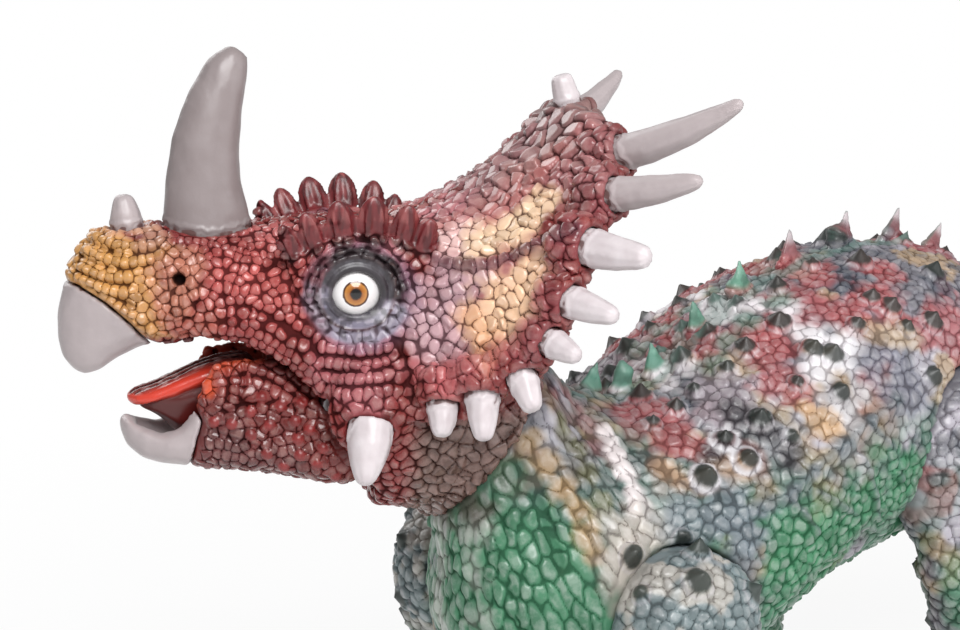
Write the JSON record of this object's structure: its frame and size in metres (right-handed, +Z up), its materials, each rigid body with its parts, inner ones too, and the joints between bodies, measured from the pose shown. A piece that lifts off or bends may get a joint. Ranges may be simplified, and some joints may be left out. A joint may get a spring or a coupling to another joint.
{
  "type": "toy dinosaur figure",
  "caption": "Standing horned dinosaur toy with a spiked frill, tall nose horn, open beak, and a head, jaw, legs and tail that turn.",
  "frame": {"origin": "on the ground, below the middle of the figure's box as it stands with its head turned to its right", "axes": "+X towards the tail, along the body's length; +Y towards the figure's right side; +Z up"},
  "size_m": [0.3388, 0.1068, 0.1828],
  "materials": {
    "red_vinyl": "satin",
    "mottled_vinyl": "satin",
    "pale_vinyl": "satin",
    "tongue_vinyl": "satin",
    "eye_enamel": "gloss",
    "plug_plastic": "satin",
    "pin_steel": "satin"
  },
  "bodies": {
    "body": {"torso": "mottled_vinyl", "neck_plug": "plug_plastic"},
    "head": {"head": "red_vinyl", "upper_beak": "pale_vinyl", "eye_left": "eye_enamel", "eye_right": "eye_enamel", "jaw_pin": "pin_steel", "frill_horn_left_1": "pale_vinyl", "frill_horn_left_2": "pale_vinyl", "frill_horn_left_3": "pale_vinyl", "frill_horn_left_4": "pale_vinyl", "frill_horn_left_5": "pale_vinyl", "frill_horn_left_6": "pale_vinyl", "frill_horn_left_7": "pale_vinyl", "frill_horn_left_8": "pale_vinyl", "frill_horn_right_1": "pale_vinyl", "frill_horn_right_2": "pale_vinyl", "frill_horn_right_3": "pale_vinyl", "frill_horn_right_4": "pale_vinyl", "frill_horn_right_5": "pale_vinyl", "frill_horn_right_6": "pale_vinyl", "frill_horn_right_7": "pale_vinyl", "frill_horn_right_8": "pale_vinyl", "frill_horn_middle": "pale_vinyl", "cheek_horn_left": "pale_vinyl", "cheek_horn_right": "pale_vinyl", "nose_horn": "pale_vinyl", "nose_nub": "pale_vinyl"},
    "jaw": {"lower_jaw": "red_vinyl", "lower_beak": "pale_vinyl", "tongue": "tongue_vinyl"},
    "tail": {"tail": "mottled_vinyl", "tail_plug": "plug_plastic"},
    "front_leg_left": {"front_leg_left": "mottled_vinyl", "front_leg_left_plug": "plug_plastic"},
    "front_leg_right": {"front_leg_right": "mottled_vinyl", "front_leg_right_plug": "plug_plastic"},
    "hind_leg_left": {"hind_leg_left": "mottled_vinyl", "hind_leg_left_plug": "plug_plastic"},
    "hind_leg_right": {"hind_leg_right": "mottled_vinyl", "hind_leg_right_plug": "plug_plastic"}
  },
  "joints": [
    {"name": "neck_turn", "type": "hinge", "parent": "body", "child": "head", "pos_m": [-0.09221, 0.00589, 0.1], "axis": [-0.6928, 0.4, 0.6], "range_deg": [-25, 25]},
    {"name": "jaw_hinge", "type": "hinge", "parent": "head", "child": "jaw", "pos_m": [-0.12295, 0.02364, 0.112], "axis": [0.5, 0.866, 0], "range_deg": [-7, 8]},
    {"name": "tail_turn", "type": "hinge", "parent": "body", "child": "tail", "pos_m": [0.07479, -0.00111, 0.092], "axis": [0.9744, 0, -0.225], "range_deg": [-25, 25]},
    {"name": "front_leg_left_swing", "type": "hinge", "parent": "body", "child": "front_leg_left", "pos_m": [-0.07321, -0.03011, 0.062], "axis": [0, 1, 0], "range_deg": [-20, 20]},
    {"name": "front_leg_right_swing", "type": "hinge", "parent": "body", "child": "front_leg_right", "pos_m": [-0.07321, 0.02789, 0.062], "axis": [0, 1, 0], "range_deg": [-20, 20]},
    {"name": "hind_leg_left_swing", "type": "hinge", "parent": "body", "child": "hind_leg_left", "pos_m": [0.02579, -0.03011, 0.083], "axis": [0, 1, 0], "range_deg": [-20, 20]},
    {"name": "hind_leg_right_swing", "type": "hinge", "parent": "body", "child": "hind_leg_right", "pos_m": [0.02579, 0.02789, 0.083], "axis": [0, 1, 0], "range_deg": [-20, 20]}
  ]
}
